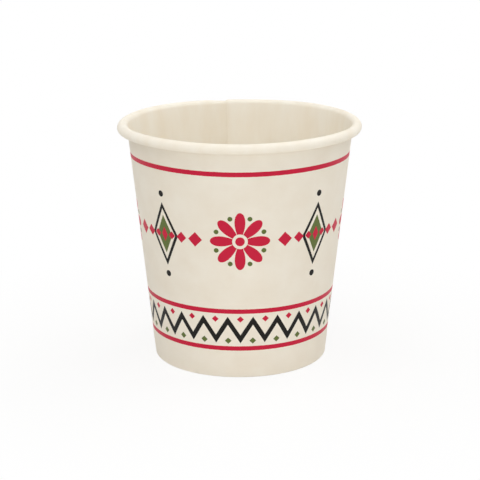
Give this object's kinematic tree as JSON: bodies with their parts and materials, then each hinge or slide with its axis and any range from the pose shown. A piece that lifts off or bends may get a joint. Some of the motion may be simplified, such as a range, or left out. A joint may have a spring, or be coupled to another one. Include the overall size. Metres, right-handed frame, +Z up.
{
  "type": "paper cup",
  "caption": "Small single wall paper cup for a hot drink, tapered, with a rolled rim, an overlapped side seam and a bottom set up behind a folded base.",
  "frame": {"origin": "centre of the base, on the plane the cup stands on", "axes": "+Z up along the cup's axis; the printed front faces -Y, and the side seam is at the back, near +Y"},
  "size_m": [0.062, 0.062, 0.061],
  "materials": {
    "printed_paper": "semi-matt cream paper, printed outside in crimson, black and green, with a thin coating inside",
    "coated_paper": "cream paper with a thin satin coating"
  },
  "bodies": {
    "root": {"sidewall": "printed_paper", "bottom": "coated_paper"}
  },
  "joints": []
}
